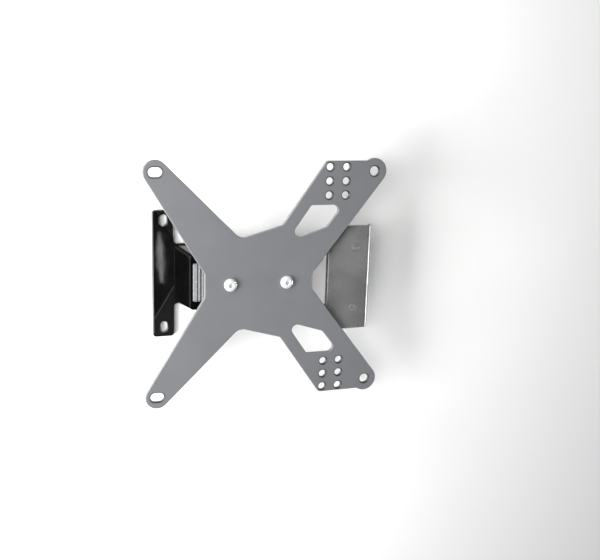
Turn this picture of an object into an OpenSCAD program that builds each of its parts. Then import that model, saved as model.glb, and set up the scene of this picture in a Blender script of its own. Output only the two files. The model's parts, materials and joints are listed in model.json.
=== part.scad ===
// Motorcycle number plate holder: an X-shaped carrier plate for the number plate,
// bolted with a flat lower bracket onto a folded T-shaped tail arm that holds a small lamp.
// Millimetres. The origin lies under the tail arm's two slots, midway between them.
// X runs from the tail towards the foot of the number plate and Z points out of its face.

/* [Carrier plate] */
// Sheet thickness of the carrier plate
carrier_t = 3; // [2:0.5:5]
// Height of the carrier plate's face above the underside of the tail strip
face_height = 45; // [42:1:60]
// Distance between the upper slots and the lower corner holes
corner_pitch_x = 160; // [156:1:180]
// Distance between the left and the right corner holes
corner_pitch_y = 160; // [150:1:180]
// How far the corner pattern lies towards the foot from the middle of the two screws
pattern_shift = 6.4; // [4:0.2:9]
// Radius of the round ends of the upper arms
upper_end_r = 8.5; // [7.5:0.5:10]
// Radius of the round ends of the lower arms
lower_end_r = 9.5; // [8.8:0.1:11]
// Length of the slots in the upper arms
corner_slot_l = 9.5; // [8:0.5:12]
// Width of the slots in the upper arms
corner_slot_w = 6.5; // [5:0.5:8]
// Diameter of the holes in the ends of the lower arms
corner_hole_d = 7; // [5:0.5:8]
// Distance from the middle of the two screws to the floor of the upper notch
upper_notch_x = 39.7; // [37:0.1:43]
// Half width of the upper notch's floor
upper_notch_half = 8.7; // [6:0.1:11]
// Distance from the middle of the two screws to the floor of the lower notch
lower_notch_x = 41; // [38:0.5:45]
// Half width of the lower notch's floor
lower_notch_half = 6; // [4:0.5:10]
// Half width of the waist at the lowest point of the side notches
waist_half = 32.8; // [31:0.1:36]
// Distance of that lowest point from the middle of the two screws, towards the tail
waist_x = 13.8; // [10:0.2:18]
// Half width of the plate where the lower arms begin
shoulder_half = 41.7; // [39:0.1:46]
// Distance of the lower arms' beginning from the middle of the two screws
shoulder_x = 17.1; // [15:0.1:22]
// Length of the straight outer edge, from its corner to the corner hole
edge_run = 37.5; // [35:0.5:42]
// Distance from a corner hole's centre out to the straight outer edge
edge_out = 7.6; // [6:0.2:8.6]

/* [Hole grids] */
// Diameter of the small holes
grid_hole_d = 5.3; // [4:0.1:6]
// Distance between the two rows of a grid
grid_pitch_x = 12.7; // [10:0.1:14]
// Distance between the three holes of a row
grid_pitch_y = 10.2; // [9:0.1:12]
// Distance from the straight outer edge to the nearest hole centre
grid_inset = 4.4; // [4:0.1:6]
// Distance from the grid's first row to the corner hole, along the number plate
grid_back = 34.7; // [32:0.1:35]

/* [Arm openings] */
// Material left between an opening and the lower arm's outer edge
opening_outer_web = 13; // [10:0.5:16]
// Material left between an opening and the lower arm's inner edge
opening_inner_web = 9.5; // [7:0.5:13]
// Distance from the innermost grid hole's centre to the opening
opening_grid_web = 7; // [5:0.5:10]
// Distance of the opening's inner edge from the middle line, at the lower notch floor
opening_root = 36.3; // [35:0.1:40]
// Slope of the opening's inner edge in degrees
opening_slope = 18; // [12:1:24]

/* [Tail arm] */
// Sheet thickness of the tail arm
arm_t = 4; // [3:0.5:5]
// Inner radius of its two folds
arm_fold_r = 3; // [2:0.5:3.5]
// Distance from the tail slots to the middle of the two plate screws
arm_reach = 61.5; // [60:0.5:75]
// Width of the cross strip that carries the tail slots
strip_w = 16; // [14.5:0.5:19]
// Length of the cross strip
strip_l = 96; // [93:1:120]
// Distance between the two tail slots
tail_pitch = 81; // [76:1:83]
// Length of a tail slot
tail_slot_l = 9; // [7:0.5:11]
// Width of a tail slot
tail_slot_w = 6; // [5:0.5:8.5]
// Width of the arm between its strip and its fork
arm_w = 46; // [45:1:54]
// Distance from the plate screws' middle to the face of the arm's upright web
web_back = 33; // [32:0.5:35]
// Distance from the plate screws' middle to the arm's end
arm_end = 64; // [61:0.5:68]

/* [Window] */
// Half width of the window that the arm and the lower bracket share
window_half = 22; // [18:0.5:24]
// Distance from the plate screws' middle to the window's near edge
window_near = 31; // [29:0.5:34]
// Distance from the plate screws' middle to the window's far edge
window_far = 54.3; // [52:0.1:57]
// Outer half width of the two legs beside the window
leg_half = 30; // [29:0.5:32]
// Distance from the plate screws' middle to where the legs reach their full width
leg_start = 21.7; // [20:0.1:23]

/* [Lower bracket] */
// Sheet thickness of the lower bracket
bracket_t = 2; // [1.5:0.25:3]
// Width of the bracket's tongue under the carrier plate
tongue_w = 36; // [30:1:44]
// Distance from the plate screws' middle to the tongue's end near the tail
tongue_back = 29; // [27:0.5:31]
// Half width of the bracket's head
head_half = 39.5; // [36:0.5:42]
// Distance from the plate screws' middle to the head's outer face
head_reach = 88.8; // [82:0.2:94]
// Depth of the lip folded down along the head's end
lip_depth = 6; // [6:0.5:20]
// Inner radius of the lip's fold
lip_fold_r = 2.5; // [0.5:0.25:2.5]
// Thread diameter of the two studs pressed into the head
stud_d = 4; // [3:0.5:5]
// Length of the studs below the head's face
stud_l = 12; // [8:1:20]
// Diameter of the studs' flush heads
stud_head_d = 6.4; // [6:0.1:8]
// Thickness of the studs' flush heads
stud_head_t = 1.2; // [0.6:0.1:1.4]
// Distance between the two studs
stud_pitch = 46.4; // [40:0.2:56]
// Distance from the studs to the head's outer face
stud_back = 13.5; // [11:0.5:19]

/* [Plate screws] */
// Distance between the two screws
screw_pitch = 42; // [38:0.5:42]
// Thread diameter of the plate screws
screw_d = 5; // [4:0.5:6]
// Diameter of their button heads
button_d = 9.5; // [9:0.1:11]
// Height of their button heads
button_h = 2.75; // [2.2:0.05:3.5]
// Width of their hexagon sockets
socket_w = 3; // [2.5:0.5:4]
// Thread that shows past the nut
screw_spare = 1.2; // [0.5:0.1:3]
// Outer diameter of the washers
washer_d = 10; // [9:0.5:11]
// Thickness of the washers
washer_t = 1; // [0.8:0.1:1.6]
// Width of the lock nuts across their flats
nut_w = 8; // [8:0.5:10]
// Height of the lock nuts with their collar
nut_h = 5; // [4.5:0.25:6.5]
// How much wider than the thread the sheets' screw holes are
screw_clear = 0.5; // [0.3:0.1:1]

/* [Lamp] */
// Length of the lamp's case where it stands on the arm
lamp_l = 44; // [42:0.5:45]
// How much shorter the case is at its rim
lamp_taper = 3.5; // [0:0.5:6]
// Distance from the web to the front of the case's rim
lamp_out = 14.8; // [14.6:0.2:17]
// How far the case's foot stands out in front of its rim
lamp_lean = 5.3; // [0:0.1:6]
// Radius of the case's two front corners
lamp_corner_r = 3; // [1:0.5:4]
// Distance from the carrier plate's face down to the lens's top
lens_drop = 10; // [9:0.5:12]
// How far the lens stands out of the case
lens_proud = 1.5; // [0.5:0.25:2.5]
// Length of the lens
lens_l = 28; // [24:1:30]
// Width of the lens
lens_w = 10.4; // [9:0.2:11]
// Width of the lens's plain strip, in front of its flutes
lens_plain = 3.2; // [1:0.2:5]
// Number of flutes along the lens
flutes = 3; // [2:1:5]
// Thread diameter of the lamp's screws
lamp_screw_d = 4; // [3:0.5:4]
// Distance between the lamp's screws
lamp_screw_pitch = 26; // [20:1:28]
// Depth of the lamp's screws in the case
lamp_screw_in = 8; // [5:0.5:9]
// Height of the lamp's screws above its underside
lamp_screw_up = 16; // [14:0.5:16.5]
// Height of the lamp's lead above its underside
lead_up = 8; // [7:0.5:9.5]
// Number of light-emitting chips on the board
chips = 3; // [2:1:5]

/* [Hidden] */
$fn = 64;
arc_step = 9;
through = 1;

// Corner rounding of the sheets
notch_fillet = 3;
waist_fillet = 8;
shoulder_fillet = 4;
edge_corner_r = 3;
opening_tip_r = 2;
opening_round_r = 4;
sheet_corner_r = 2.5;

// Heights of the stack that the two plate screws clamp
carrier_z = face_height - carrier_t;
bracket_z = carrier_z - bracket_t;
flange_z = bracket_z - arm_t;
washer_z = flange_z - washer_t;
nut_z = washer_z - nut_h;
screw_tip_z = nut_z - screw_spare;
sheet_hole_d = screw_d + screw_clear;
screw_xs = [arm_reach - screw_pitch / 2, arm_reach + screw_pitch / 2];

// Details of the screws and lock nuts
thread_gap = 0.1;
tip_chamfer = 0.5;
nut_bore_d = screw_d + thread_gap;
nut_hex_h = nut_h * 0.64;
nut_collar_d = nut_w * 0.94;
nut_chamfer_h = 0.5;
nut_chamfer_w = 0.7;
fuse = 0.01;
ring_h = 1.3;
ring_z = nut_z + 0.4;
ring_d = nut_w * 0.84;

// Places on the carrier plate, measured from the middle of its two screws
upper_hole = [pattern_shift - corner_pitch_x / 2, corner_pitch_y / 2];
lower_hole = [pattern_shift + corner_pitch_x / 2, corner_pitch_y / 2];
edge_y = lower_hole.y + edge_out;
edge_corner = [lower_hole.x - edge_run, edge_y];
edge_end = [lower_hole.x - sqrt(pow(lower_end_r, 2) - pow(edge_out, 2)), edge_y];
upper_notch = [-upper_notch_x, upper_notch_half];
lower_notch = [lower_notch_x, lower_notch_half];
waist = [-waist_x, waist_half];
shoulder = [shoulder_x, shoulder_half];
grid_x = lower_hole.x - grid_back;
grid_top = edge_y - grid_inset;
grid_low = grid_top - 2 * grid_pitch_y;

// Places of the studs
stud_x = arm_reach + head_reach - stud_back;
stud_ys = [stud_pitch / 2, -stud_pitch / 2];

// Lamp heights and places
lamp_z = arm_t;
lens_z = face_height - lens_drop;
rim_z = lens_z - lens_proud;
lamp_h = rim_z - lamp_z;
lamp_heel = arm_fold_r + 0.5;
lean_angle = atan2(lamp_lean, lamp_h);
end_angle = asin(lamp_taper / 2 / norm([lamp_lean, lamp_taper / 2, lamp_h]));
lens_depth = 3.2;
gasket_t = 0.8;
lens_base = lens_z - lens_depth;
ledge_z = lens_base - gasket_t;
ledge_w = 1.5;
board_t = 1.2;
chip_size = 3;
chip_h = 1;
tray_depth = 5;
tray_z = ledge_z - tray_depth;
web_x = arm_reach - web_back;
lens_gap = 0.2;
lens_corner_r = 1.2;
flute_crown = 0.5;
lens_bevel = 1.2;
lens_hollow = 1.2;
lamp_wall = 2.1;
tray_corner_r = 0.8;
board_corner_r = 0.6;
board_hole_d = 1.2;
board_hole_in = 1.6;
chip_corner_r = 0.4;
chip_row_l = lens_l - 10;
lamp_front_x = web_x - lamp_out;
lens_x = lamp_front_x + lamp_wall + lens_gap + lens_w / 2;
lamp_head_d = 7.6;
lamp_head_h = 2.2;
lamp_socket_w = 2.5;
lamp_bore_spare = 1;
lamp_washer_d = 9;
lamp_washer_t = 0.8;
lamp_screw_z = lamp_z + lamp_screw_up;
lead_z = lamp_z + lead_up;
lead_well_d = 5;
lead_hole_d = 3.5;
lead_squeeze = 0.5;
grommet_d = 8;
grommet_neck_d = 5.5;
grommet_lip = 1.2;
grommet_edge = 0.4;

function unit(v) = v / norm(v);
function turned(v, a) = [v.x * cos(a) - v.y * sin(a), v.x * sin(a) + v.y * cos(a)];
function mirrored(pts) = [for (i = [len(pts) - 1:-1:0]) [pts[i][0], -pts[i][1], pts[i][2]]];
function with_r(p, r) = [p.x, p.y, r];

// Where a straight edge from p touches the circle round c, on the given side
function touch(p, c, r, side) =
    let (d = c - p, far = norm(d), run = sqrt(far * far - r * r))
    p + run * turned(unit(d), side * asin(r / far));

// The points of a round end about c, clockwise from p to q
function round_end(c, p, q) =
    let (s = p - c, e = q - c, sweep = (360 - atan2(cross(s, e), s * e)) % 360)
    let (steps = ceil(sweep / arc_step))
    [for (i = [0:steps]) with_r(c + turned(s, -sweep * i / steps), 0)];

// Where the line through p along u crosses the line through q along v
function crossing(p, u, q, v) = p + u * (cross(q - p, v) / cross(u, v));

// The arc that rounds the corner q between p and n with radius r
function rounded_corner(p, q, n, r) =
    let (a = unit(p - q), b = unit(n - q), half = acos(a * b) / 2)
    let (c = q + unit(a + b) * r / sin(half), s = q + a * r / tan(half) - c)
    let (sweep = (cross(a, b) > 0 ? -1 : 1) * (180 - 2 * half), steps = ceil(abs(sweep) / arc_step))
    [for (i = [0:steps]) c + turned(s, sweep * i / steps)];

// A closed outline from corners of the form [x, y, radius]
function outline(k) =
    let (m = len(k), flat = [for (q = k) [q[0], q[1]]])
    [for (i = [0:m - 1])
        each k[i][2] > 0
            ? rounded_corner(flat[(i + m - 1) % m], flat[i], flat[(i + 1) % m], k[i][2])
            : [flat[i]]];

// One side of a folded sheet's section, at distance s to the left of its middle line
function fold_side(path, s, inner, t) =
    [for (i = [0:len(path) - 1])
        let (a = i > 0 ? unit(path[i] - path[i - 1]) : unit(path[1] - path[0]))
        let (b = i < len(path) - 1 ? unit(path[i + 1] - path[i]) : a)
        let (n = unit(turned(a, 90) + turned(b, 90)), bend = cross(a, b))
        with_r(path[i] + n * s / (n * turned(a, 90)),
            abs(bend) < 0.01 ? 0 : bend * s > 0 ? inner : inner + t)];

// Section of a sheet of thickness t folded along the path
function folded(path, inner, t) =
    let (left = fold_side(path, t / 2, inner, t), right = fold_side(path, -t / 2, inner, t))
    outline(concat(left, [for (i = [len(right) - 1:-1:0]) right[i]]));

// A section in X and Z, drawn out to the given width about the middle line
module across(w, section) {
    translate([0, w / 2, 0])
        rotate([90, 0, 0])
            linear_extrude(w)
                polygon(section);
}

// A slot that runs along X, cut through a sheet whose underside is at z
module slot(at, z, t, l, w) {
    half = (l - w) / 2;
    for (x = [-half, half])
        translate([at.x + x, at.y, z - through])
            cylinder(d = w, h = t + 2 * through);
    translate([at.x - half, at.y - w / 2, z - through])
        cube([2 * half, w, t + 2 * through]);
}

// A round hole through a sheet whose underside is at z
module hole(at, z, t, d) {
    translate([at.x, at.y, z - through])
        cylinder(d = d, h = t + 2 * through);
}

// The X-shaped plate, with round ends, hole grids and an opening in each lower arm
module carrier_plate() {
    upper_in = touch(upper_notch, upper_hole, upper_end_r, 1);
    upper_out = touch(waist, upper_hole, upper_end_r, -1);
    lower_out = touch(lower_notch, lower_hole, lower_end_r, -1);
    half = [with_r(upper_notch, notch_fillet), each round_end(upper_hole, upper_in, upper_out),
        with_r(waist, waist_fillet), with_r(shoulder, shoulder_fillet),
        with_r(edge_corner, edge_corner_r), each round_end(lower_hole, edge_end, lower_out),
        with_r(lower_notch, notch_fillet)];
    arm_out = unit(lower_out - lower_notch);
    arm_in = unit(edge_corner - shoulder);
    out_start = lower_notch + turned(arm_out, 90) * opening_outer_web;
    in_start = shoulder + turned(arm_in, -90) * opening_inner_web;
    top_start = [0, grid_low - opening_grid_web];
    root_start = [lower_notch_x, opening_root];
    root_way = [cos(opening_slope), sin(opening_slope)];
    opening = [with_r(crossing(in_start, arm_in, top_start, [1, 0]), opening_tip_r),
        with_r(crossing(out_start, arm_out, top_start, [1, 0]), opening_round_r),
        with_r(crossing(out_start, arm_out, root_start, root_way), opening_round_r),
        with_r(crossing(in_start, arm_in, root_start, root_way), opening_round_r)];
    color([0.56, 0.57, 0.58])
        translate([arm_reach, 0, 0])
            difference() {
                translate([0, 0, carrier_z])
                    linear_extrude(carrier_t)
                        difference() {
                            polygon(outline(concat(half, mirrored(half))));
                            polygon(outline(opening));
                            polygon(outline(mirrored(opening)));
                        }
                for (side = [-1, 1]) {
                    slot([upper_hole.x, side * upper_hole.y], carrier_z, carrier_t,
                        corner_slot_l, corner_slot_w);
                    hole([lower_hole.x, side * lower_hole.y], carrier_z, carrier_t, corner_hole_d);
                    for (i = [0:1], j = [0:2])
                        hole([grid_x + i * grid_pitch_x, side * (grid_top - j * grid_pitch_y)],
                            carrier_z, carrier_t, grid_hole_d);
                }
                for (x = [-1, 1] * screw_pitch / 2)
                    hole([x, 0], carrier_z, carrier_t, sheet_hole_d);
            }
}

// Corners of one side of a sheet that widens at 45 degrees into the window's legs
function widening(w) = [[leg_start - leg_half + w / 2, w / 2, sheet_corner_r],
    [leg_start, leg_half, sheet_corner_r]];

// The window's outline
module window() {
    polygon(outline([[window_near, window_half, sheet_corner_r],
        [window_far, window_half, sheet_corner_r], [window_far, -window_half, sheet_corner_r],
        [window_near, -window_half, sheet_corner_r]]));
}

// The bracket clamped under the carrier plate, with the window and a folded lip
module lower_bracket() {
    mid_z = bracket_z + bracket_t / 2;
    lip_x = arm_reach + head_reach - bracket_t / 2;
    path = [[arm_reach - tongue_back, mid_z], [lip_x, mid_z], [lip_x, carrier_z - lip_depth]];
    taper = head_half - leg_half;
    half = [[-tongue_back, tongue_w / 2, sheet_corner_r], each widening(tongue_w),
        [window_far - taper / 2, leg_half, sheet_corner_r],
        [window_far + taper, head_half, sheet_corner_r], [head_reach + through, head_half, 0]];
    color([0.47, 0.48, 0.49])
        difference() {
            intersection() {
                across(2 * head_half, folded(path, lip_fold_r, bracket_t));
                translate([arm_reach, 0, 0])
                    linear_extrude(face_height)
                        difference() {
                            polygon(outline(concat(half, mirrored(half))));
                            window();
                        }
            }
            for (x = screw_xs)
                hole([x, 0], bracket_z, bracket_t, sheet_hole_d);
            for (y = stud_ys) {
                hole([stud_x, y], bracket_z, bracket_t, stud_d);
                translate([stud_x, y, carrier_z - stud_head_t])
                    cylinder(d = stud_head_d, h = stud_head_t + through);
            }
        }
}

// The two studs pressed into the bracket's head, their own heads flush with its face
module bracket_studs() {
    tip_r = stud_d / 2 - tip_chamfer;
    color([0.7, 0.71, 0.72])
        for (y = stud_ys)
            translate([stud_x, y, carrier_z])
                rotate_extrude()
                    polygon([[0, -stud_l], [tip_r, -stud_l], [stud_d / 2, tip_chamfer - stud_l],
                        [stud_d / 2, -stud_head_t], [stud_head_d / 2, -stud_head_t],
                        [stud_head_d / 2, 0], [0, 0]]);
}

// The folded arm: a slotted strip, a neck, an upright web and a flange with the window
module tail_arm() {
    low = arm_t / 2;
    high = flange_z + arm_t / 2;
    web_mid = web_x + arm_t / 2;
    path = [[-strip_w / 2, low], [web_mid, low], [web_mid, high], [arm_reach + arm_end, high]];
    strip_x = strip_w / 2 - arm_reach;
    half = [[strip_x - strip_w, strip_l / 2, sheet_corner_r],
        [strip_x, strip_l / 2, sheet_corner_r], [strip_x, arm_w / 2, sheet_corner_r],
        each widening(arm_w), [arm_end, leg_half, sheet_corner_r]];
    color([0.08, 0.08, 0.09])
        difference() {
            intersection() {
                across(strip_l, folded(path, arm_fold_r, arm_t));
                translate([arm_reach, 0, 0])
                    linear_extrude(face_height)
                        difference() {
                            polygon(outline(concat(half, mirrored(half))));
                            window();
                        }
            }
            for (side = [-1, 1])
                translate([0, side * tail_pitch / 2, 0])
                    rotate([0, 0, 90])
                        slot([0, 0], 0, arm_t, tail_slot_l, tail_slot_w);
            for (x = screw_xs)
                hole([x, 0], flange_z, arm_t, sheet_hole_d);
            for (side = [-1, 1])
                translate([web_x - through, side * lamp_screw_pitch / 2, lamp_screw_z])
                    rotate([0, 90, 0])
                        cylinder(d = lamp_screw_d + screw_clear, h = arm_t + 2 * through);
            translate([web_x - through, 0, lead_z])
                rotate([0, 90, 0])
                    cylinder(d = grommet_neck_d, h = arm_t + 2 * through);
        }
}

// A button-head socket screw whose head sits on z = 0 and whose shank points down
module button_screw(d, head_d, head_h, socket, shank) {
    top_d = socket * 1.5;
    rim_h = head_h * 0.2;
    socket_h = head_h * 0.75;
    difference() {
        rotate_extrude()
            polygon([[0, -shank], [d / 2 - tip_chamfer, -shank], [d / 2, -shank + tip_chamfer],
                [d / 2, 0], [head_d / 2, 0],
                for (a = [0:15:75])
                    [top_d / 2 + (head_d - top_d) / 2 * cos(a), rim_h + (head_h - rim_h) * sin(a)],
                [top_d / 2, head_h], [0, head_h]]);
        translate([0, 0, head_h - socket_h])
            rotate([0, 0, 30])
                cylinder(d = socket / cos(30), h = head_h, $fn = 6);
    }
}

// The two screws that clamp the carrier plate
module plate_screws() {
    color([0.86, 0.87, 0.88])
        for (x = screw_xs)
            translate([x, 0, face_height])
                button_screw(screw_d, button_d, button_h, socket_w, face_height - screw_tip_z);
}

// The flat washers under the arm
module plate_washers() {
    color([0.78, 0.79, 0.8])
        for (x = screw_xs)
            translate([x, 0, washer_z])
                difference() {
                    cylinder(d = washer_d, h = washer_t);
                    translate([0, 0, -through])
                        cylinder(d = sheet_hole_d, h = washer_t + 2 * through);
                }
}

// Lock nuts: a chamfered hexagon above a round collar
module plate_nuts() {
    hex_z = washer_z - nut_hex_h;
    rim_r = nut_w / 2 + nut_chamfer_w;
    color([0.72, 0.73, 0.74])
        for (x = screw_xs)
            translate([x, 0, 0])
                difference() {
                    union() {
                        intersection() {
                            translate([0, 0, hex_z])
                                cylinder(d = nut_w / cos(30), h = nut_hex_h, $fn = 6);
                            translate([0, 0, hex_z])
                                rotate_extrude()
                                    polygon([[0, 0], [nut_w / 2, 0], [rim_r, nut_chamfer_h],
                                        [rim_r, nut_hex_h - nut_chamfer_h], [nut_w / 2, nut_hex_h],
                                        [0, nut_hex_h]]);
                        }
                        translate([0, 0, nut_z])
                            cylinder(d = nut_collar_d, h = nut_h - nut_hex_h + fuse);
                    }
                    translate([0, 0, nut_z - through])
                        cylinder(d = nut_bore_d, h = nut_h + 2 * through);
                    translate([0, 0, ring_z])
                        cylinder(d = ring_d, h = ring_h);
                }
}

// The nylon rings held in the lock nuts' collars
module plate_nut_rings() {
    color([0.25, 0.42, 0.68])
        for (x = screw_xs)
            translate([x, 0, ring_z])
                difference() {
                    cylinder(d = ring_d, h = ring_h);
                    translate([0, 0, -through])
                        cylinder(d = nut_bore_d, h = ring_h + 2 * through);
                }
}

// A box with rounded upright edges, from its lowest corner
module block(at, size, r) {
    translate([at.x, at.y, at.z])
        linear_extrude(size.z)
            polygon(outline([[0, 0, r], [size.x, 0, r], [size.x, size.y, r], [0, size.y, r]]));
}

// A block centred on the lens in X and Y
module lens_block(w, l, z, h, r) {
    block([lens_x - w / 2, -l / 2, z], [w, l, h], r);
}

// A prism whose rounded front corner leans back and inwards from the case's foot
module lamp_corner(side) {
    foot_x = lamp_front_x - lamp_lean;
    far_x = 2 * (web_x - foot_x);
    far_y = -2 * side * lamp_l;
    corner = [[0, 0, lamp_corner_r], [far_x, 0, 0], [far_x, far_y, 0], [0, far_y, 0]];
    translate([foot_x, side * lamp_l / 2, lamp_z])
        rotate([side * end_angle, lean_angle, 0])
            translate([0, 0, -lamp_h])
                linear_extrude(3 * lamp_h)
                    polygon(outline(corner));
}

// The lamp's moulded case: a leaning body, open at the top for the lens and the board
module lamp_housing() {
    foot_x = lamp_front_x - lamp_lean - through;
    color([0.05, 0.05, 0.06])
        difference() {
            intersection() {
                across(lamp_l + 2 * through, [[foot_x, lamp_z], [web_x - lamp_heel, lamp_z],
                    [web_x, lamp_z + lamp_heel], [web_x, rim_z], [foot_x, rim_z]]);
                lamp_corner(1);
                lamp_corner(-1);
            }
            lens_block(lens_w + 2 * lens_gap, lens_l + 2 * lens_gap, ledge_z, lens_z,
                lens_corner_r + lens_gap);
            lens_block(lens_w - 2 * ledge_w, lens_l - 2 * ledge_w, tray_z, lens_z, tray_corner_r);
            for (side = [-1, 1])
                translate([web_x - lamp_screw_in - lamp_bore_spare, side * lamp_screw_pitch / 2,
                    lamp_screw_z])
                    rotate([0, 90, 0])
                        cylinder(d = lamp_screw_d + thread_gap,
                            h = lamp_screw_in + lamp_bore_spare + through);
            translate([lens_x, 0, lead_z - lead_well_d / 2])
                cylinder(d = lead_well_d, h = tray_z - lead_z + lead_well_d);
            translate([lens_x, 0, lead_z])
                rotate([0, 90, 0])
                    cylinder(d = lead_hole_d, h = web_x - lens_x + through);
        }
}

// The clear lens: a plain strip and flutes along its length, bevelled at both ends
module lamp_lens() {
    flute_w = (lens_w - lens_plain) / flutes;
    body_z = lens_z - flute_crown;
    front_x = lens_x - lens_w / 2;
    plain_x = front_x + lens_plain;
    end_y = lens_l / 2;
    top = [for (i = [0:flutes - 1], a = [0:30:150])
        [lens_x + lens_w / 2 - flute_w * (i + 0.5) + flute_w / 2 * cos(a),
            body_z + flute_crown * sin(a)]];
    color([0.86, 0.89, 0.9])
        difference() {
            intersection() {
                across(lens_l, concat([[front_x, lens_base], [lens_x + lens_w / 2, lens_base]], top,
                    [[plain_x, body_z], [plain_x - flute_crown, lens_z], [front_x, lens_z]]));
                lens_block(lens_w, lens_l, lens_base, lens_depth, lens_corner_r);
                translate([lens_x + lens_w, 0, 0])
                    rotate([90, 0, -90])
                        linear_extrude(2 * lens_w)
                            polygon([[-end_y, 0], [end_y, 0], [end_y, lens_z - lens_bevel],
                                [end_y - lens_bevel, lens_z], [lens_bevel - end_y, lens_z],
                                [-end_y, lens_z - lens_bevel]]);
            }
            lens_block(lens_w - 2 * ledge_w, lens_l - 2 * ledge_w, lens_base - through,
                lens_hollow + through, tray_corner_r);
        }
}

// The rubber seal between the lens and the housing's ledge
module lamp_gasket() {
    color([0.16, 0.16, 0.17])
        difference() {
            lens_block(lens_w, lens_l, ledge_z, gasket_t, lens_corner_r);
            lens_block(lens_w - 2 * ledge_w, lens_l - 2 * ledge_w, ledge_z - through,
                gasket_t + 2 * through, tray_corner_r);
        }
}

// The board on the floor of the lamp's tray
module lamp_board() {
    inset = ledge_w + lens_gap;
    color([0.92, 0.92, 0.9])
        difference() {
            lens_block(lens_w - 2 * inset, lens_l - 2 * inset, tray_z, board_t, board_corner_r);
            for (side = [-1, 1])
                translate([lens_x, side * (lens_l / 2 - inset - board_hole_in), tray_z - through])
                    cylinder(d = board_hole_d, h = board_t + 2 * through);
        }
}

// The light-emitting chips in a row on the board
module lamp_chips() {
    pitch = chip_row_l / chips;
    color([0.95, 0.9, 0.62])
        for (i = [0:chips - 1])
            translate([0, (i - (chips - 1) / 2) * pitch, 0])
                lens_block(chip_size, chip_size, tray_z + board_t, chip_h, chip_corner_r);
}

// The screws that hold the lamp from behind the web
module lamp_screws() {
    head_x = web_x + arm_t + lamp_washer_t;
    color([0.8, 0.81, 0.82])
        for (side = [-1, 1])
            translate([head_x, side * lamp_screw_pitch / 2, lamp_screw_z])
                rotate([0, 90, 0])
                    button_screw(lamp_screw_d, lamp_head_d, lamp_head_h, lamp_socket_w,
                        arm_t + lamp_washer_t + lamp_screw_in);
}

// The washers under the lamp screws' heads
module lamp_washers() {
    color([0.76, 0.77, 0.78])
        for (side = [-1, 1])
            translate([web_x + arm_t, side * lamp_screw_pitch / 2, lamp_screw_z])
                rotate([0, 90, 0])
                    difference() {
                        cylinder(d = lamp_washer_d, h = lamp_washer_t);
                        translate([0, 0, -through])
                            cylinder(d = lamp_screw_d + screw_clear,
                                h = lamp_washer_t + 2 * through);
                    }
}

// The rubber grommet where the lamp's lead would pass through the web
module lamp_grommet() {
    bore_r = (lead_hole_d - lead_squeeze) / 2;
    lip_z = arm_t + grommet_lip;
    color([0.13, 0.13, 0.14])
        translate([web_x, 0, lead_z])
            rotate([0, 90, 0])
                rotate_extrude()
                    polygon([[bore_r, 0], [grommet_neck_d / 2, 0], [grommet_neck_d / 2, arm_t],
                        [grommet_d / 2, arm_t], [grommet_d / 2, lip_z - grommet_edge],
                        [grommet_d / 2 - grommet_edge, lip_z], [bore_r, lip_z]]);
}

carrier_plate();
lower_bracket();
bracket_studs();
tail_arm();
plate_screws();
plate_washers();
plate_nuts();
plate_nut_rings();
lamp_housing();
lamp_lens();
lamp_gasket();
lamp_board();
lamp_chips();
lamp_screws();
lamp_washers();
lamp_grommet();
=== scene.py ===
# Looks for the motorcycle number plate holder:
# finishes, softened sheet edges, threads, light and camera
import json
import math

import bmesh
import bpy
from mathutils import Matrix, Vector


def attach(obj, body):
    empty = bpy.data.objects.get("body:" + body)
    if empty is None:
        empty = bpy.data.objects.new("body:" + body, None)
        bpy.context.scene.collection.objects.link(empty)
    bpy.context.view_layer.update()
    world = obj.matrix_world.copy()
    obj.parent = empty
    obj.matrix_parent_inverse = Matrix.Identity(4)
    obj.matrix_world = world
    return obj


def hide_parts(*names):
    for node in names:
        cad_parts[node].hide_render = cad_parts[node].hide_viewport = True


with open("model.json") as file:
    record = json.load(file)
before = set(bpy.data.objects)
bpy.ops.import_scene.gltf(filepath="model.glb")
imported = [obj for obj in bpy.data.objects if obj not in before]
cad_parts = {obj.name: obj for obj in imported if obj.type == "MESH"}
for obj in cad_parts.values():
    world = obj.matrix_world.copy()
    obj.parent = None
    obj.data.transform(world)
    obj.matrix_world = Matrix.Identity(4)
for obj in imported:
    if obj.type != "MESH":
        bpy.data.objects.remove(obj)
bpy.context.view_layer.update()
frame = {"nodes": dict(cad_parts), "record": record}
mm = 0.001
print("frame loaded")


# Camera
# place and aim are points of the row frame in mm, found from the holes in the photograph
view = {
    "place": (-103.7, 142.6, 596.7),
    "aim": (92.7, 1.0, 45.0),
    "up": (0.0487, 0.9715, -0.2319),
    "focal": 49.52,
    "sensor": 36.0,
    "near": 0.01,
}


def setCamera():
    place, aim = Vector(view["place"]) * mm, Vector(view["aim"]) * mm
    back = (place - aim).normalized()
    right = Vector(view["up"]).cross(back).normalized()
    up = back.cross(right)
    data = bpy.data.cameras.new("photoCamera")
    data.lens = view["focal"]
    data.sensor_width = view["sensor"]
    data.sensor_fit = "HORIZONTAL"
    data.clip_start = view["near"]
    camera = bpy.data.objects.new("photoCamera", data)
    turn = Matrix((right, up, back)).transposed().to_4x4()
    camera.matrix_world = Matrix.Translation(place) @ turn
    bpy.context.scene.collection.objects.link(camera)
    bpy.context.scene.camera = camera


setCamera()
print("camera set")


# Shader helpers
usualNoise = (0.3, 0.7)  # most of a noise's values lie between these
mixSockets = {"factor": 0, "from": 6, "to": 7, "result": 2}  # the Mix node's sockets for colours


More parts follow.
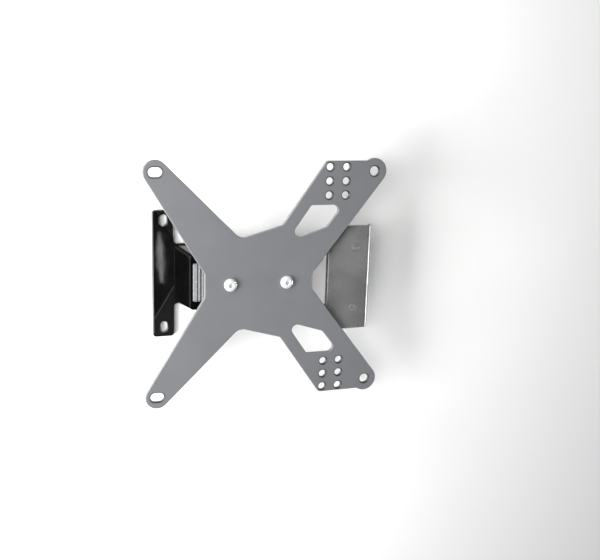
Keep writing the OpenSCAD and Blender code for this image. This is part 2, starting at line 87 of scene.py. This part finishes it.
class Wire:
    # a socket that takes part in arithmetic and adds its own Math nodes
    def __init__(self, graph, socket):
        self.graph = graph
        self.socket = socket

    def __add__(self, other):
        return self.graph.math("ADD", self, other)

    def __radd__(self, other):
        return self.graph.math("ADD", other, self)

    def __sub__(self, other):
        return self.graph.math("SUBTRACT", self, other)

    def __rsub__(self, other):
        return self.graph.math("SUBTRACT", other, self)

    def __mul__(self, other):
        return self.graph.math("MULTIPLY", self, other)

    def __rmul__(self, other):
        return self.graph.math("MULTIPLY", other, self)

    def __truediv__(self, other):
        return self.graph.math("DIVIDE", self, other)

    def __rtruediv__(self, other):
        return self.graph.math("DIVIDE", other, self)


class Graph:
    # a tree of shader nodes
    def __init__(self, tree):
        self.tree = tree

    def put(self, made, socket, value):
        # a wire is linked to the node's socket, and anything else is its value
        if isinstance(value, Wire):
            self.tree.links.new(value.socket, made.inputs[socket])
        else:
            made.inputs[socket].default_value = value

    def node(self, kind, settings=None, inputs=None, out=0):
        made = self.tree.nodes.new(kind)
        for key, value in (settings or {}).items():
            setattr(made, key, value)
        for key, value in (inputs or {}).items():
            self.put(made, key, value)
        return Wire(self, made.outputs[out])

    def math(self, operation, a, b=0.0):
        return self.node("ShaderNodeMath", {"operation": operation}, {0: a, 1: b})

    def spread(self, value, low, high, toLow=0.0, toHigh=1.0):
        ends = {"From Min": low, "From Max": high, "To Min": toLow, "To Max": toHigh}
        return self.node("ShaderNodeMapRange", {"clamp": True}, {"Value": value, **ends})


class Finish(Graph):
    # one material: its principled shader, and the nodes that vary it over the surface
    def __init__(self, name, sockets):
        self.material = bpy.data.materials.new(name)
        self.material.use_nodes = True
        super().__init__(self.material.node_tree)
        self.shader = self.tree.nodes["Principled BSDF"]
        for socket, value in sockets.items():
            self.feed(socket, value)
        self.place = self.node("ShaderNodeTexCoord", out="Object")

    def feed(self, socket, value):
        self.put(self.shader, socket, value)

    def noise(self, size, detail=2.0, roughness=0.5):
        # size is the width of one blob in mm
        look = {"Scale": 1 / (size * mm), "Detail": detail, "Roughness": roughness}
        return self.node(
            "ShaderNodeTexNoise", {"noise_dimensions": "3D"}, {"Vector": self.place, **look}
        )

    def uneven(self, size, detail, low, high):
        # wanders between low and high in blobs of this size
        return self.spread(self.noise(size, detail), *usualNoise, low, high)

    def blend(self, factor, colorA, colorB):
        sides = [c if isinstance(c, Wire) else (*c, 1.0) for c in (colorA, colorB)]
        inputs = {
            mixSockets["factor"]: factor, mixSockets["from"]: sides[0], mixSockets["to"]: sides[1],
        }
        return self.node("ShaderNodeMix", {"data_type": "RGBA"}, inputs, mixSockets["result"])

    def bump(self, height, depth):
        # height runs from 0 to 1 and depth is its real depth in mm
        inputs = {"Height": height, "Distance": depth * mm, "Strength": 1.0}
        self.feed("Normal", self.node("ShaderNodeBump", {}, inputs, "Normal"))


# Finishes
# cloud, grain, peel, wave and ripple are noises: a blob's width in mm, detail and roughness
# patch is the blob and detail of the uneven roughness, and depth that of the relief in mm
plateCoat = {
    "dark": (0.143, 0.145, 0.153), "light": (0.157, 0.159, 0.167),
    # rim: the darker colour of the hole rims and walls, a painted shade
    "rim": (0.02, 0.0205, 0.0215), "rough": (0.34, 0.42),
}
bracketCoat = {
    # the wide spread from dark to light is partly the coat's own mottle and partly painted
    # reflection, the uneven sheen of the bracket
    "dark": (0.082, 0.082, 0.083), "light": (0.15, 0.15, 0.151),
    # rim: the darker colour of the hole rims and walls, a painted shade
    "rim": (0.06, 0.06, 0.061), "rough": (0.24, 0.36),
}
powder = {
    "sockets": {"Roughness": 0.4, "IOR": 1.5, "Coat Weight": 0.25, "Coat Roughness": 0.12},
    "cloud": (28, 3, 0.55), "grain": (0.35, 2, 0.6), "clouded": 0.75, "span": (0.32, 0.68),
    "patch": (9, 2), "peel": (0.9, 2, 0.45), "depth": 0.012,
}
armCoat = {
    "dark": (0.0015, 0.0015, 0.0018), "light": (0.0028, 0.0028, 0.003),
    "rough": (0.02, 0.045), "wave": (14.0, 1, 0.4), "shine": 0.6,
}
caseCoat = {
    "dark": (0.0012, 0.0012, 0.0012), "light": (0.0022, 0.0022, 0.0022),
    "rough": (0.08, 0.14), "wave": (9.0, 1, 0.4), "shine": 0.1,
}
gloss = {
    "sockets": {"Roughness": 0.08, "IOR": 1.5},
    "cloud": (20, 3, 0.55), "patch": (6, 3), "ripple": (1.1, 1, 0.4), "waved": 0.9, "depth": 0.02,
}
screwSteel = {
    "sockets": {"Metallic": 0.25, "Roughness": 0.3},
    "dark": (0.66, 0.665, 0.67), "light": (0.74, 0.74, 0.745), "cloud": (1.5, 3),
    "patch": (0.6, 3), "rough": (0.26, 0.4), "grain": (0.4, 2, 0.6), "depth": 0.006,
}
zincPlate = {
    "sockets": {"Metallic": 1.0, "Roughness": 0.35},
    "dark": (0.55, 0.56, 0.6), "light": (0.7, 0.7, 0.69), "cloud": (2.2, 4),
    "patch": (0.8, 3), "rough": (0.28, 0.46), "grain": (0.3, 2, 0.6), "depth": 0.008,
}
ringNylon = {
    "sockets": {"Roughness": 0.45, "Subsurface Weight": 0.15, "Subsurface Scale": 0.001},
    "dark": (0.06, 0.14, 0.34), "light": (0.09, 0.19, 0.42), "cloud": (1.2, 3),
    "grain": (0.5, 2), "depth": 0.01,
}
sealRubber = {
    "sockets": {"Roughness": 0.8},
    "dark": (0.018, 0.018, 0.019), "light": (0.032, 0.032, 0.033), "cloud": (1.5, 3),
    "grain": (0.3, 2, 0.7), "depth": 0.03,
}
whiteBoard = {
    "sockets": {"Roughness": 0.35},
    "dark": (0.8, 0.8, 0.78), "light": (0.86, 0.86, 0.84), "cloud": (2.5, 2),
    "grain": (0.6, 2), "depth": 0.01,
}
phosphor = {
    "sockets": {"Roughness": 0.3},
    "dark": (0.82, 0.74, 0.42), "light": (0.88, 0.8, 0.5), "cloud": (0.6, 2),
    "grain": (0.4, 2), "depth": 0.01,
}
studCoat = {
    "dark": (0.09, 0.09, 0.092), "light": (0.2, 0.2, 0.203), "cloud": (0.9, 2, 0.6),
    "span": (0.35, 0.65), "patch": (0.8, 3), "rough": (0.3, 0.46),
    "grain": (0.9, 2, 0.5), "depth": 0.03,
    "ends": (1.4, 1.2),  # mm below the stud's face, where the coat gives way to zinc
}
lensLook = {
    "sockets": {"Roughness": 0.25, "IOR": 1.49, "Transmission Weight": 0.15},
    "dark": (0.26, 0.264, 0.27), "light": (0.31, 0.314, 0.32), "cloud": (5, 2),
    "patch": (1.5, 3), "rough": (0.18, 0.32), "grain": (3, 1), "depth": 0.006,
    "from": 19.1, "pitch": 2.4, "plainEdge": (0.3, 0.2),  # the flutes along X in mm
    # the dark flute stripes are painted shade of the flute edges
    "line": (0.03, 0.03, 0.032), "lineEdge": (0.24, 0.36),  # its edge in shares of a flute
}


def powderCoat(name, look):
    coat = Finish(name, powder["sockets"])
    cloud, grain = coat.noise(*powder["cloud"]), coat.noise(*powder["grain"])
    mottle = cloud * powder["clouded"] + grain * (1 - powder["clouded"])
    face = coat.blend(coat.spread(mottle, *powder["span"]), look["dark"], look["light"])
    # the rim attribute marks the hole rims and walls, which take the rim colour as painted shade
    attribute = {"attribute_type": "GEOMETRY", "attribute_name": "rim"}
    rim = coat.node("ShaderNodeAttribute", attribute, out="Fac")
    coat.feed("Base Color", coat.blend(rim, face, look["rim"]))
    coat.feed("Roughness", coat.uneven(*powder["patch"], *look["rough"]))
    coat.bump(coat.noise(*powder["peel"]), powder["depth"])
    return coat.material


def glossCoat(name, look):
    coat = Finish(name, {**gloss["sockets"], "Specular IOR Level": look["shine"]})
    cloud = coat.spread(coat.noise(*gloss["cloud"]), *usualNoise)
    coat.feed("Base Color", coat.blend(cloud, look["dark"], look["light"]))
    coat.feed("Roughness", coat.uneven(*gloss["patch"], *look["rough"]))
    wave, ripple = coat.noise(*look["wave"]), coat.noise(*gloss["ripple"])
    coat.bump(wave * gloss["waved"] + ripple * (1 - gloss["waved"]), gloss["depth"])
    return coat.material


def smallPartFinish(name, look):
    part = Finish(name, look["sockets"])
    part.feed("Base Color", part.blend(part.noise(*look["cloud"]), look["dark"], look["light"]))
    if "patch" in look:
        part.feed("Roughness", part.uneven(*look["patch"], *look["rough"]))
    part.bump(part.noise(*look["grain"]), look["depth"])
    return part.material


def coatedStud(name, look, face):
    # zinc plated below, with the bracket's coat over the flush head
    stud = Finish(name, {"IOR": 1.5})
    height = stud.node("ShaderNodeSeparateXYZ", {}, {0: stud.place}, "Z")
    coated = stud.spread(height, *((face - depth) * mm for depth in look["ends"]))
    shade = stud.spread(stud.noise(*look["cloud"]), *look["span"])
    coat = stud.blend(shade, look["dark"], look["light"])
    zinc = stud.blend(stud.noise(*zincPlate["cloud"]), zincPlate["dark"], zincPlate["light"])
    stud.feed("Base Color", stud.blend(coated, zinc, coat))
    stud.feed("Metallic", 1.0 - coated)
    stud.feed("Roughness", stud.uneven(*look["patch"], *look["rough"]))
    stud.bump(stud.noise(*look["grain"]), look["depth"])
    return stud.material


def clearLens(name, look):
    # milky clear plastic, with a dark stripe where each flute meets the next, painted shade of the
    # flute edges
    lens = Finish(name, look["sockets"])
    across = lens.node("ShaderNodeSeparateXYZ", {}, {0: lens.place}, "X")
    phase = lens.math("FRACT", (across - look["from"] * mm) / (look["pitch"] * mm))
    line = lens.spread(lens.math("ABSOLUTE", phase - 0.5), *look["lineEdge"])
    fluted = lens.spread(across, *((look["from"] - edge) * mm for edge in look["plainEdge"]))
    body = lens.blend(lens.noise(*look["cloud"]), look["dark"], look["light"])
    lens.feed("Base Color", lens.blend(line * fluted, body, look["line"]))
    lens.feed("Roughness", lens.uneven(*look["patch"], *look["rough"]))
    lens.bump(lens.noise(*look["grain"]), look["depth"])
    return lens.material


finishes = {
    "plate_coat": powderCoat("plateCoat", plateCoat),
    "bracket_coat": powderCoat("bracketCoat", bracketCoat),
    "arm_coat": glossCoat("armCoat", armCoat),
    "screw_steel": smallPartFinish("screwSteel", screwSteel),
    "zinc_steel": smallPartFinish("zincPlate", zincPlate),
    "nylon": smallPartFinish("ringNylon", ringNylon),
    "lamp_case": glossCoat("casePlastic", caseCoat),
    "lamp_clear": clearLens("clearLens", lensLook),
    "lamp_rubber": smallPartFinish("sealRubber", sealRubber),
    "lamp_board_white": smallPartFinish("whiteBoard", whiteBoard),
    "lamp_chip": smallPartFinish("phosphor", phosphor),
}
slotOf = {part["node"]: part["material_slot"] for part in frame["record"]["subparts"]}
print("finishes ready")


# CAD nodes keep their shape and take their finish
smoothAngle = 30  # degrees up to which a CAD node is shaded smooth


def paint(nodeName):
    piece = frame["nodes"][nodeName]
    piece.data.materials.clear()
    piece.data.materials.append(finishes[slotOf[nodeName]])
    piece.data.shade_smooth()
    piece.data.set_sharp_from_angle(angle=math.radians(smoothAngle))


for nodeName in slotOf:
    paint(nodeName)
print("nodes painted")


# Pieces whose edges are softened, their holes by a width of their own in mm
softEdges = {
    "carrier_plate": {"name": "xPlate", "edge": 0.7, "hole": 0.85},
    "lower_bracket": {"name": "windowBracket", "edge": 0.3, "hole": 0.15},
    "tail_arm": {"name": "foldedArm", "edge": 1.0, "hole": 0.3},
    "plate_washers": {"name": "plateWashers", "edge": 0.15, "hole": 0.15},
    "plate_nuts": {"name": "lockNuts", "edge": 0.12, "hole": 0.12, "clamp": True},
    "lamp_housing": {"name": "lampCase", "edge": 0.5, "hole": 0.2},
    "lamp_lens": {"name": "flutedLens", "edge": 0.2, "hole": 0.2},
    "lamp_washers": {"name": "lampWashers", "edge": 0.12, "hole": 0.12},
}
softening = {
    "weld": 0.001, "holeReach": 12.5,  # mm: merged points, and the longest side of a hole's rim
    "flat": 0.5, "sharp": 35,  # degrees: dissolved edges, and rounded ones
    "sameFace": 30, "sameRound": 50,  # degrees between faces that share a normal
    "segments": 3,
    "mainFace": 0.5,  # the share of the largest face's area from which a face counts
    "level": 0.5,  # a face whose normal rises less than this is a wall
}


def cadShape(nodeName):
    # a node's loose triangles, merged
    shape = bmesh.new()
    shape.from_mesh(frame["nodes"][nodeName].data)
    bmesh.ops.remove_doubles(shape, verts=shape.verts, dist=softening["weld"] * mm)
    return shape


def addPiece(nodeName, name, shape, normals=None, finish=None):
    mesh = bpy.data.meshes.new(name)
    shape.to_mesh(mesh)
    shape.free()
    mesh.shade_smooth()
    if normals:
        mesh.normals_split_custom_set(normals)
    mesh.materials.append(finish or finishes[slotOf[nodeName]])
    piece = bpy.data.objects.new(name, mesh)
    bpy.context.scene.collection.objects.link(piece)
    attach(piece, "root")
    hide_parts(nodeName)
    return piece


def chains(edges):
    # connected groups of edges, in the same order each run
    left = dict.fromkeys(edges)
    while left:
        chain, reached = [], [left.popitem()[0]]
        while reached:
            edge = reached.pop()
            chain.append(edge)
            for vert in edge.verts:
                for near in vert.link_edges:
                    if near in left:
                        del left[near]
                        reached.append(near)
        yield chain


def reach(chain):
    points = [vert.co for edge in chain for vert in edge.verts]
    return max(max(p[i] for p in points) - min(p[i] for p in points) for i in range(3))


def evenNormals(shape, rounded):
    # a flat face keeps its own normal up to its rounded edge, and the rounding runs between the two
    normals = []
    for face in shape.faces:
        widest = math.radians(softening["sameRound" if face in rounded else "sameFace"])
        for loop in face.loops:
            near = [f for f in loop.vert.link_faces if f.normal.angle(face.normal, 0.0) < widest]
            near = [f for f in near if f not in rounded] or near
            largest = max(f.calc_area() for f in near)
            total = Vector((0.0, 0.0, 0.0))
            for f in near:
                if f.calc_area() > softening["mainFace"] * largest:
                    total += f.normal
            normals.append(total.normalized())
    return normals


def softened(nodeName, look):
    shape = cadShape(nodeName)
    bmesh.ops.dissolve_limit(
        shape, angle_limit=math.radians(softening["flat"]), verts=shape.verts, edges=shape.edges
    )
    widest = math.radians(softening["sharp"])
    sharp = [edge for edge in shape.edges if edge.is_manifold and edge.calc_face_angle() > widest]
    groups = {"edge": [], "hole": []}
    for chain in chains(sharp):
        isHole = reach(chain) < softening["holeReach"] * mm
        groups["hole" if isHole else "edge"].extend(chain)
    # rim marks the faces that take the painted shade of the holes
    rim = shape.faces.layers.float.new("rim")
    rounded = set()
    for width, cut in groups.items():
        made = bmesh.ops.bevel(
            shape, geom=[edge for edge in cut if edge.is_valid], offset=look[width] * mm,
            affect="EDGES", segments=softening["segments"], profile=0.5,
            clamp_overlap=look.get("clamp", False), material=-1,
        )
        rounded.update(made["faces"])
        if width == "hole":
            holeFaces = made["faces"]
    rounded = {face for face in rounded if face.is_valid}
    shape.normal_update()
    # the rims and walls of the holes are marked to take the darker rim colour, a painted shade
    for face in holeFaces:
        for near in [face] + [f for edge in face.edges for f in edge.link_faces]:
            if near in rounded or abs(near.normal.z) < softening["level"]:
                near[rim] = 1.0
    addPiece(nodeName, look["name"], shape, evenNormals(shape, rounded))


for nodeName, look in softEdges.items():
    softened(nodeName, look)
print("edges softened")


# Turned pieces with real threads, all in mm
buttonHead = {"head": 9.5, "high": 2.75, "socket": 3.0, "thread": 5.0, "pitch": 0.8}
lampHead = {"head": 7.6, "high": 2.2, "socket": 2.5, "thread": 4.0, "pitch": 0.7}
buttonShape = {
    "floor": 0.2, "corner": 0.24, "wall": 0.28, "rim": 0.2,  # shares of the head's height
    "bottom": 0.96, "flat": 0.75,  # shares of the socket's width
    "point": 0.1, "mouth": 0.12, "lipWidth": 0.24, "lipDrop": 0.01,
    "topSoft": 0.08, "topDrop": 0.02, "skirt": 0.15, "foot": 0.12, "neck": 0.05,
    "domeRings": 11, "domeTurn": 8,  # the turn from ring to ring in degrees
}
studHead = {
    "head": 6.4, "thick": 1.2, "thread": 4.0, "pitch": 0.7, "edge": 0.12, "neck": 0.01,
    "mark": ((0.1, -0.35), (0.45, -0.3), (0.75, -0.04), (0.95, 0.0)),  # radius and height
    "groove": ((0.75, 0.0), (0.6, -0.08), (0.45, -0.08), (0.35, 0.0), (0.12, 0.0)),  # from the edge
}
turning = {
    "steps": 48, "perPitch": 6,  # points of a ring, and rings of one turn of the thread
    "depth": 0.6, "flank": 2.4,  # the thread's depth in shares of its pitch, and its steepness
    "bare": 0.5, "runIn": 0.1, "chamfer": 0.5,
    "sharp": 38,  # degrees
}


def circle(radius):
    return lambda angle: radius


def hexagon(width):
    return lambda angle: width / 2 / math.cos((angle + math.pi / 6) % (math.pi / 3) - math.pi / 6)


def rimEdges(ring):
    # the edges that join a ring's points, in the same order each run
    points = set(ring)
    edges = (edge for vert in ring for edge in vert.link_edges if points.issuperset(edge.verts))
    return list(dict.fromkeys(edges))


def turned(shape, rings, turn):
    # rings are (radius at an angle, height) in mm, from the middle of one end to the other's
    ring = bmesh.ops.create_circle(
        shape, cap_ends=True, segments=turning["steps"], radius=1.0
    )["verts"]
    made = []
    for number, (radiusAt, height) in enumerate(rings):
        if number > 0:
            grown = bmesh.ops.extrude_edge_only(shape, edges=rimEdges(ring))["geom"]
            ring = [item for item in grown if isinstance(item, bmesh.types.BMVert)]
        for vert in ring:
            angle = math.atan2(vert.co.y, vert.co.x)
            radius = radiusAt(angle)
            vert.co = (radius * math.cos(angle), radius * math.sin(angle), height)
        made.extend(ring)
    bmesh.ops.contextual_create(shape, geom=rimEdges(ring))
    bmesh.ops.transform(shape, matrix=turn @ Matrix.Scale(mm, 4), verts=made)


def threadRings(look, start, tip):
    diameter, pitch = look["thread"], look["pitch"]
    top, depth = start - turning["runIn"], turning["depth"] * pitch
    count = math.ceil((top - tip) / pitch * turning["perPitch"])
    rings = []
    for k in range(count + 1):
        height = top + (tip - top) * k / count
        limit = diameter / 2 - max(0.0, turning["chamfer"] - (height - tip))

        def radiusAt(angle, height=height, limit=limit):
            phase = (height / pitch - angle / (2 * math.pi)) % 1
            groove = depth * min(1.0, turning["flank"] * abs(phase - 0.5))
            return min(diameter / 2 - depth + groove, limit)

        rings.append((radiusAt, height))
    return rings


def buttonRings(look, length):
    form, high, half = buttonShape, look["high"], look["head"] / 2
    socket, shank = look["socket"], look["thread"] / 2
    flat, rim = socket * form["flat"], high * form["rim"]
    rings = [
        (circle(form["point"]), high * form["floor"]),
        (hexagon(socket * form["bottom"]), high * form["corner"]),
        (hexagon(socket), high * form["wall"]),
        (hexagon(socket), high - form["mouth"]),
        (hexagon(socket + form["lipWidth"]), high - form["lipDrop"]),
        (circle(flat - form["topSoft"]), high),
        (circle(flat + form["topSoft"]), high - form["topDrop"]),
    ]
    for step in range(1, form["domeRings"] + 1):
        angle = math.radians(90 - form["domeTurn"] * step)
        radius = flat + (half - flat) * math.cos(angle)
        rings.append((circle(radius), rim + (high - rim) * math.sin(angle)))
    rings += [
        (circle(half), rim),
        (circle(half), form["skirt"]),
        (circle(half - form["foot"]), 0.0),
        (circle(shank + form["neck"]), 0.0),
        (circle(shank), -turning["bare"]),
    ]
    return rings + threadRings(look, -turning["bare"], -length)


def studRings(look, length):
    half, thick, shank = look["head"] / 2, look["thick"], look["thread"] / 2
    rings = [(circle(radius), height) for radius, height in look["mark"]]
    rings += [(circle(half - inset), height) for inset, height in look["groove"]]
    rings += [
        (circle(half), -look["edge"]),
        (circle(half), -thick),
        (circle(shank), -thick - look["neck"]),
        (circle(shank), -thick - turning["bare"]),
    ]
    return rings + threadRings(look, -thick - turning["bare"], -length)


def turnedPieces(nodeName, name, seats, rings, finish=None):
    shape = bmesh.new()
    for seat in seats:
        turned(shape, rings, seat)
    bmesh.ops.recalc_face_normals(shape, faces=shape.faces)
    piece = addPiece(nodeName, name, shape, finish=finish)
    piece.data.set_sharp_from_angle(angle=math.radians(turning["sharp"]))


def parted(nodeName):
    # the separate solids of a node, as the lowest and highest corner of each in mm
    shape = cadShape(nodeName)
    boxes = []
    for chain in chains(shape.edges):
        points = [vert.co for edge in chain for vert in edge.verts]
        boxes.append([[pick(p[i] for p in points) / mm for i in range(3)] for pick in (min, max)])
    shape.free()
    return boxes


def middle(box):
    return Vector([(low + high) / 2 for low, high in zip(*box)])


def upright(box, height):
    seat = middle(box)
    seat.z = height
    return Matrix.Translation(seat * mm)


def lying(box, front):
    seat = middle(box)
    seat.x = front
    return Matrix.Translation(seat * mm) @ Matrix.Rotation(math.radians(90), 4, "Y")


plateFace = parted("carrier_plate")[0][1][2]
plateScrews = parted("plate_screws")
turnedPieces(
    "plate_screws", "buttonScrews", [upright(box, plateFace) for box in plateScrews],
    buttonRings(buttonHead, plateFace - plateScrews[0][0][2]),
)
studs = parted("bracket_studs")
turnedPieces(
    "bracket_studs", "pressedStuds", [upright(box, box[1][2]) for box in studs],
    studRings(studHead, studs[0][1][2] - studs[0][0][2]),
    coatedStud("studSteel", studCoat, studs[0][1][2]),
)
lampScrews = parted("lamp_screws")
turnedPieces(
    "lamp_screws", "lampScrews", [lying(box, box[1][0] - lampHead["high"]) for box in lampScrews],
    buttonRings(lampHead, lampScrews[0][1][0] - lampScrews[0][0][0] - lampHead["high"]),
)
print("threads cut")


# Floor and light
studio = {
    "floor": ((0.88, 0.88, 0.87), (0.9, 0.9, 0.89)), "cloud": (60, 2),  # a blob's width in mm
    "reach": 1.0, "below": 0.1,  # half the floor's side in m, and its gap under the part in mm
    "world": (0.95, 0.98, 1.0), "glow": 0.07, "backdrop": 0.9,
}
# places, aims and sizes in metres, power in watts and spread in degrees
usualLight = {
    "aim": (0.06, 0.0, 0.03), "shape": "RECTANGLE", "color": (1.0, 1.0, 1.0), "spread": 180,
}
lights = {
    "leftSoftbox": {
        "place": (-0.65, -0.08, 0.4), "size": (0.55, 0.4), "power": 15.5,
        "color": (0.985, 0.995, 1.0),
    },
    "cornerSoftbox": {"place": (-0.7, 0.7, 0.45), "size": (0.6, 0.4), "power": 4},
    "topSoftbox": {
        "place": (-0.1, 1.0, 0.45), "size": (0.9, 0.2), "power": 2.2,
        "color": (1.0, 0.99, 0.97),
    },
    "fill": {"place": (-0.45, 0.22, 0.95), "size": (0.4, 0.4), "power": 6.5},
    "bendLight": {
        "place": (0.5, -0.09, 0.085), "size": (0.14, 0.07), "power": 0.035,
        "aim": (0.146, -0.01, 0.028), "spread": 24,
    },
    "streak": {
        "place": (0.2543, -0.315, 1.5), "size": (0.0155, 0.13), "power": 0.019,
        "aim": (0.2543, 0.0, 0.03), "shape": "ELLIPSE",
    },
}


def setFloor():
    shape = bmesh.new()
    bmesh.ops.create_grid(shape, x_segments=1, y_segments=1, size=studio["reach"])
    bmesh.ops.translate(shape, vec=(0.0, 0.0, -studio["below"] * mm), verts=shape.verts)
    mesh = bpy.data.meshes.new("floor")
    shape.to_mesh(mesh)
    shape.free()
    floor = bpy.data.objects.new("floor", mesh)
    bpy.context.scene.collection.objects.link(floor)
    paper = Finish("floorPaper", {"Roughness": 0.9})
    paper.feed("Base Color", paper.blend(paper.noise(*studio["cloud"]), *studio["floor"]))
    mesh.materials.append(paper.material)


def addLight(name, own):
    look = {**usualLight, **own}
    data = bpy.data.lights.new(name, "AREA")
    data.shape = look["shape"]
    data.size, data.size_y = look["size"]
    data.energy = look["power"]
    data.color = look["color"]
    data.spread = math.radians(look["spread"])
    light = bpy.data.objects.new(name, data)
    light.location = look["place"]
    way = Vector(look["aim"]) - Vector(look["place"])
    light.rotation_euler = way.to_track_quat("-Z", "Y").to_euler()
    bpy.context.scene.collection.objects.link(light)


def setWorld():
    # the world is seen nearly white, but lights the part only a little
    world = bpy.data.worlds.new("studio")
    world.use_nodes = True
    sky = Graph(world.node_tree)
    background = world.node_tree.nodes["Background"]
    seen = sky.node("ShaderNodeLightPath", out="Is Camera Ray")
    sky.put(background, "Color", (*studio["world"], 1.0))
    sky.put(background, "Strength", sky.spread(seen, 0.0, 1.0, studio["glow"], studio["backdrop"]))
    bpy.context.scene.world = world
    bpy.context.scene.view_settings.view_transform = "Standard"


setFloor()
setWorld()
for name, look in lights.items():
    addLight(name, look)
print("floor and light set")
